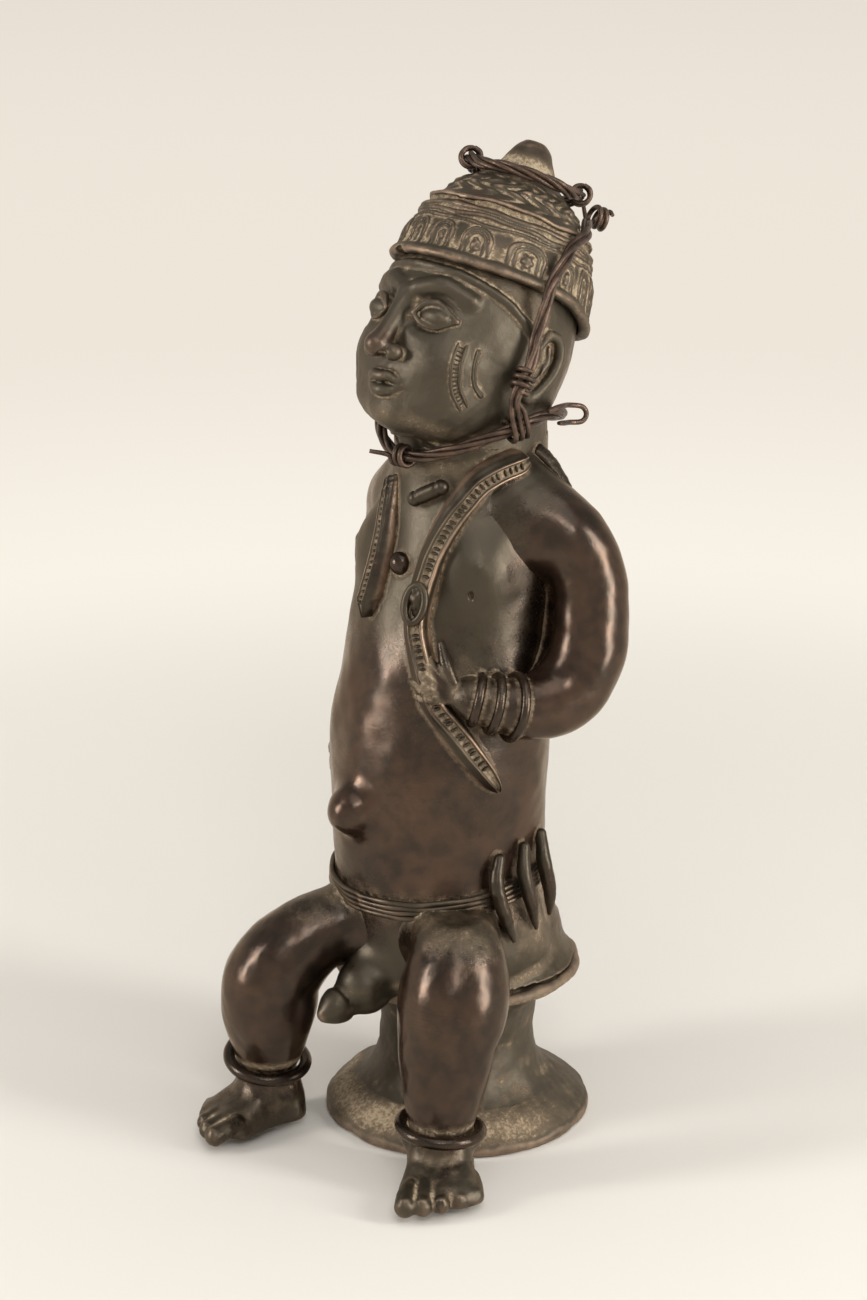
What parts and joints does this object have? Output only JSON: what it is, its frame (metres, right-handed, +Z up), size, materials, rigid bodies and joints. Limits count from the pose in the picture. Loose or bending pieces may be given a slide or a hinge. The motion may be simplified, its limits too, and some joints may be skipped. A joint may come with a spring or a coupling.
{
  "type": "seated bronze figure",
  "caption": "Seated bronze figure on a round flared stool, cast hollow, with a separately cast lift-off cap and a twisted-wire harness that ties the cap to the neck.",
  "frame": {"origin": "centre of the stool's flat underside", "axes": "+Z up, -Y the way the figure faces, +X towards the figure's left hand"},
  "size_m": [0.1271, 0.1587, 0.3494],
  "materials": {
    "polished_bronze": "dark brown patina, polished by handling",
    "crusted_bronze": "dull grey-brown patina with pale crust in the hollows",
    "copper_wire": "dull drawn copper wire"
  },
  "bodies": {
    "figure": {"stool": "polished_bronze", "torso": "polished_bronze", "left_arm": "polished_bronze", "left_bangle_1": "polished_bronze", "left_bangle_2": "polished_bronze", "left_bangle_3": "polished_bronze", "left_leg": "polished_bronze", "left_anklet": "polished_bronze", "right_arm": "polished_bronze", "right_bangle_1": "polished_bronze", "right_bangle_2": "polished_bronze", "right_bangle_3": "polished_bronze", "right_leg": "polished_bronze", "right_anklet": "polished_bronze", "shoulder_tab": "polished_bronze", "neck_bead": "polished_bronze", "chest_boss": "polished_bronze", "head": "crusted_bronze", "left_band": "crusted_bronze", "right_band": "crusted_bronze", "belt": "crusted_bronze", "belt_pendant_1": "crusted_bronze", "belt_pendant_2": "crusted_bronze", "belt_pendant_3": "crusted_bronze", "neck_ring_wire_1": "copper_wire", "neck_ring_wire_2": "copper_wire", "neck_ring_wire_3": "copper_wire", "neck_tie": "copper_wire", "neck_tail": "copper_wire"},
    "cap": {"cap": "crusted_bronze"},
    "crown_ring": {"crown_ring_wire_1": "copper_wire", "crown_ring_wire_2": "copper_wire", "crown_ring_wire_3": "copper_wire", "crown_knot": "copper_wire", "crown_wrap": "copper_wire", "crown_curl": "copper_wire"},
    "left_strap": {"left_strap_wire_1": "copper_wire", "left_strap_wire_2": "copper_wire", "left_strap_wire_3": "copper_wire", "left_strap_binding": "copper_wire"},
    "right_strap": {"right_strap_wire_1": "copper_wire", "right_strap_wire_2": "copper_wire", "right_strap_wire_3": "copper_wire", "right_strap_binding": "copper_wire"}
  },
  "joints": [
    {"name": "cap_lift", "type": "slide", "parent": "figure", "child": "cap", "axis": [0, 0.4226, 0.9063], "range_m": [0, 0.05]},
    {"name": "crown_ring_lift", "type": "slide", "parent": "cap", "child": "crown_ring", "axis": [0, 0.4226, 0.9063], "range_m": [0, 0.025]},
    {"name": "left_strap_swing", "type": "hinge", "parent": "figure", "child": "left_strap", "pos_m": [0.03121, -0.00393, 0.25944], "axis": [0.3047, 0.9176, 0.2552], "range_deg": [0, 60]},
    {"name": "right_strap_swing", "type": "hinge", "parent": "figure", "child": "right_strap", "pos_m": [-0.03121, -0.00393, 0.25944], "axis": [0.3047, -0.9176, -0.2552], "range_deg": [0, 60]}
  ],
  "couplings": [
    {"joint": "left_strap_swing", "follows": "cap_lift", "rad_per_m": 20.6},
    {"joint": "right_strap_swing", "follows": "cap_lift", "rad_per_m": 20.6}
  ]
}
